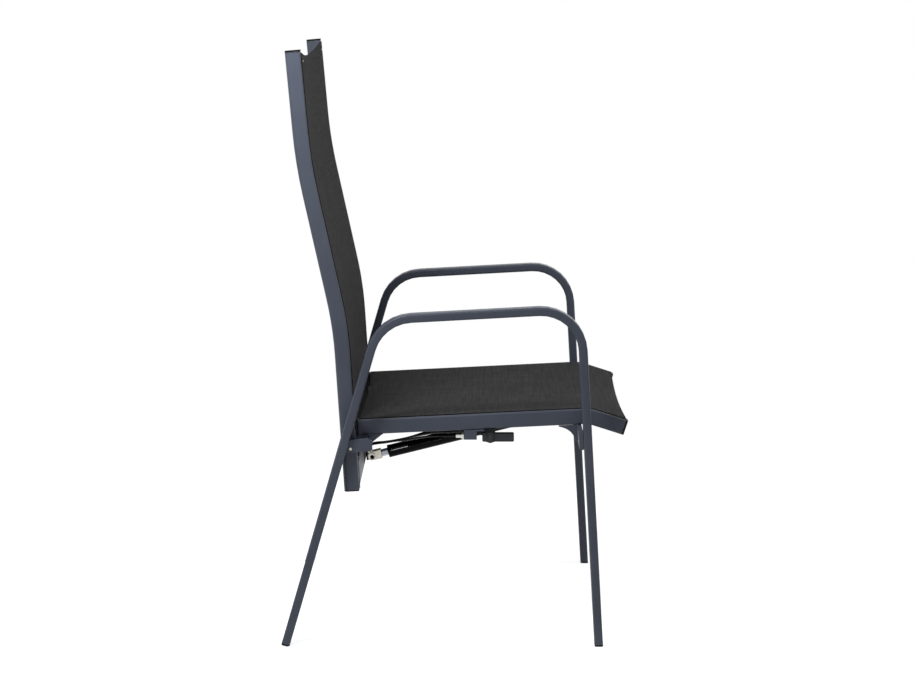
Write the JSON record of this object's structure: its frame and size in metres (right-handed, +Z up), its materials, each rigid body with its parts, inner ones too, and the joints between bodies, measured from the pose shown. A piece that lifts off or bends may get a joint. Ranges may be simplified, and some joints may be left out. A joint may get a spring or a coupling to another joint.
{
  "type": "reclining sling patio chair",
  "caption": "High-backed patio armchair with bent tube side frames, a woven sling seat and a sling back that reclines on a lever-released gas spring.",
  "frame": {"origin": "middle of the chair's footprint, on the floor", "axes": "+Z up, -Y towards the front of the seat, +X to the sitter's left"},
  "size_m": [0.58, 0.6454, 1.1011],
  "materials": {
    "frame_paint": "satin powder coat",
    "sling_fabric": "woven mesh",
    "black_plastic": "matte",
    "grey_plastic": "matte",
    "cable_jacket": "satin",
    "zinc": "zinc plated",
    "steel": "bright",
    "black_steel": "satin"
  },
  "bodies": {
    "frame": {"side_frame_left": "frame_paint", "foot_rear_left": "black_plastic", "foot_front_left": "black_plastic", "seat_rail_left": "frame_paint", "seat_rail_front_cap_left": "black_plastic", "seat_rail_rear_cap_left": "black_plastic", "seat_cord_left": "black_plastic", "pivot_bolt_left": "black_steel", "rear_plate_left": "frame_paint", "rear_gusset_left": "frame_paint", "front_bar_cap_left": "grey_plastic", "front_gusset_left": "frame_paint", "side_frame_right": "frame_paint", "foot_rear_right": "black_plastic", "foot_front_right": "black_plastic", "seat_rail_right": "frame_paint", "seat_rail_front_cap_right": "black_plastic", "seat_rail_rear_cap_right": "black_plastic", "seat_cord_right": "black_plastic", "pivot_bolt_right": "black_steel", "rear_plate_right": "frame_paint", "rear_gusset_right": "frame_paint", "front_bar_cap_right": "grey_plastic", "front_gusset_right": "frame_paint", "seat_sling": "sling_fabric", "rear_cross_tube": "frame_paint", "front_cross_bar": "frame_paint", "spring_anchor": "black_steel", "anchor_pin": "steel", "lever_bracket": "frame_paint", "lever_bolt": "black_steel", "lever_collar": "black_plastic", "cable_adjuster": "zinc", "release_cable": "cable_jacket", "return_cable": "cable_jacket"},
    "back": {"back_rail_left": "frame_paint", "back_rail_top_cap_left": "black_plastic", "back_rail_bottom_cap_left": "black_plastic", "back_cord_left": "black_plastic", "pivot_bush_left": "black_plastic", "back_rail_right": "frame_paint", "back_rail_top_cap_right": "black_plastic", "back_rail_bottom_cap_right": "black_plastic", "back_cord_right": "black_plastic", "pivot_bush_right": "black_plastic", "back_sling": "sling_fabric", "upper_back_bar": "frame_paint", "lower_back_bar": "frame_paint", "back_tongue": "black_steel", "fork_pin": "steel"},
    "spring_cylinder": {"gas_spring_cylinder": "black_steel"},
    "spring_rod": {"gas_spring_rod": "steel", "spring_fork": "zinc", "lock_nut": "steel", "spring_guard": "black_plastic"},
    "release_lever": {"release_lever": "black_steel"},
    "hand_lever": {"release_handle": "black_plastic"}
  },
  "joints": [
    {"name": "back_recline", "type": "hinge", "parent": "frame", "child": "back", "pos_m": [0, 0.18972, 0.374], "axis": [-1, 0, 0], "range_deg": [0, 26]},
    {"name": "spring_swing", "type": "hinge", "parent": "frame", "child": "spring_cylinder", "pos_m": [0, -0.20428, 0.3903], "axis": [1, 0, 0], "range_deg": [0, 1.6]},
    {"name": "rod_slide", "type": "slide", "parent": "spring_cylinder", "child": "spring_rod", "axis": [0, -0.9696, 0.2445], "range_m": [0, 0.035], "deforming": ["release_cable", "return_cable"]},
    {"name": "release_lever_turn", "type": "hinge", "parent": "spring_rod", "child": "release_lever", "pos_m": [0, 0.17024, 0.30947], "axis": [1, 0, 0], "range_deg": [0, 11]},
    {"name": "hand_lever_turn", "type": "hinge", "parent": "frame", "child": "hand_lever", "pos_m": [-0.223, -0.06728, 0.385], "axis": [0, 0, -1], "range_deg": [0, 18], "stiffness_Nm_per_rad": 0.4, "springref_deg": -5.73}
  ],
  "couplings": [
    {"joint": "spring_swing", "follows": "back_recline", "ratio": 0.0604},
    {"joint": "rod_slide", "follows": "back_recline", "m_per_rad": 0.07672},
    {"joint": "release_lever_turn", "follows": "hand_lever_turn", "ratio": 0.6}
  ]
}
